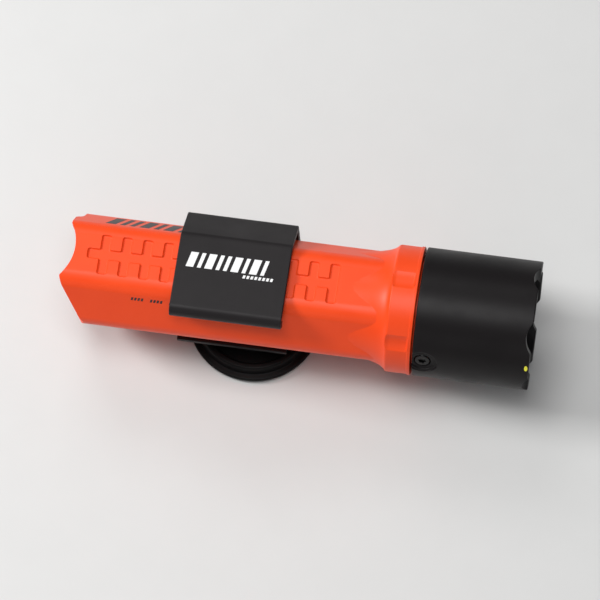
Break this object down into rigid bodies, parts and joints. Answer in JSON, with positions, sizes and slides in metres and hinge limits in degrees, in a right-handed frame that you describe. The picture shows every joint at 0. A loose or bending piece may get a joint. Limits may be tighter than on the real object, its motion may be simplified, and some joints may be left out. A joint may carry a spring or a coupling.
{
  "type": "firefighter flashlight",
  "caption": "Straight hexagonal flashlight with a round head and scalloped bezel, snapped in a swivelling C-clip on a round stick-on helmet base.",
  "frame": {"origin": "middle of the adhesive face that sticks to the helmet", "axes": "+X along the beam, from the tail to the head; +Z away from the helmet; -Y is the open side of the clip"},
  "size_m": [0.1625, 0.0468, 0.0549],
  "materials": {
    "orange_plastic": "satin moulded nylon",
    "black_plastic": "satin moulded nylon",
    "clip_plastic": "satin moulded spring plastic",
    "rubber": "matt moulded rubber",
    "foam": "matt acrylic foam",
    "steel": "bright stainless",
    "brass": "plated brass",
    "aluminium": "turned",
    "reflector_metal": "mirror",
    "lens_clear": "clear polycarbonate",
    "white_plastic": "moulded",
    "led_yellow": "silicone with phosphor",
    "cell_wrap": null
  },
  "bodies": {
    "mount_base": {"adhesive_pad": "foam", "base_disc": "black_plastic", "pivot_insert": "brass", "pivot_screw": "steel", "pivot_washer": "steel"},
    "swivel_clip": {"clip": "clip_plastic"},
    "light": {"body_shell": "orange_plastic", "switch_spring": "steel", "switch_gasket": "rubber", "switch_housing": "white_plastic", "switch_ring": "black_plastic", "tail_contact": "brass", "tail_spring": "steel", "return_strip": "brass", "battery_carrier": "black_plastic", "carrier_rear_contact": "brass", "carrier_front_contact": "brass", "front_terminal": "brass", "cell_1": "cell_wrap", "cell_2": "cell_wrap", "cell_3": "cell_wrap", "cell_spring_1": "steel", "cell_spring_2": "steel", "cell_spring_3": "steel"},
    "tail_button": {"switch_button": "rubber", "switch_plunger": "brass"},
    "head_thread": {"head_o_ring": "rubber"},
    "head": {"head_shell": "black_plastic", "lens": "lens_clear", "lens_gasket": "rubber", "reflector": "reflector_metal", "reflector_ring": "black_plastic", "led_emitter": "led_yellow", "led_board": "white_plastic", "heat_sink": "aluminium", "driver_housing": "black_plastic", "front_spring": "steel"},
    "lock_thread": {"lock_screw_seal": "rubber"},
    "lock": {"lock_screw": "steel"}
  },
  "joints": [
    {"name": "clip_swivel", "type": "hinge", "parent": "mount_base", "child": "swivel_clip", "pos_m": [0, 0, 0.0125], "axis": [0, 0, 1], "continuous": true},
    {"name": "light_slide", "type": "slide", "parent": "swivel_clip", "child": "light", "axis": [1, 0, 0], "range_m": [-0.02, 0.08]},
    {"name": "button_press", "type": "slide", "parent": "light", "child": "tail_button", "axis": [1, 0, 0], "range_m": [0, 0.002], "stiffness_N_per_m": 1200, "deforming": ["switch_spring"]},
    {"name": "head_travel", "type": "slide", "parent": "light", "child": "head_thread", "axis": [1, 0, 0], "range_m": [0, 0.005]},
    {"name": "head_turn", "type": "hinge", "parent": "head_thread", "child": "head", "pos_m": [0.0595, 0, 0.0328], "axis": [1, 0, 0], "range_deg": [0, 902]},
    {"name": "lock_travel", "type": "slide", "parent": "head", "child": "lock_thread", "axis": [0, -0.9397, 0.342], "range_m": [0, 0.002]},
    {"name": "lock_turn", "type": "hinge", "parent": "lock_thread", "child": "lock", "pos_m": [0.0622, 0, 0.0328], "axis": [0, -0.9397, 0.342], "range_deg": [0, 1444]}
  ],
  "couplings": [
    {"joint": "head_turn", "follows": "head_travel", "rad_per_m": 3141.6},
    {"joint": "lock_turn", "follows": "lock_travel", "rad_per_m": 12566}
  ]
}
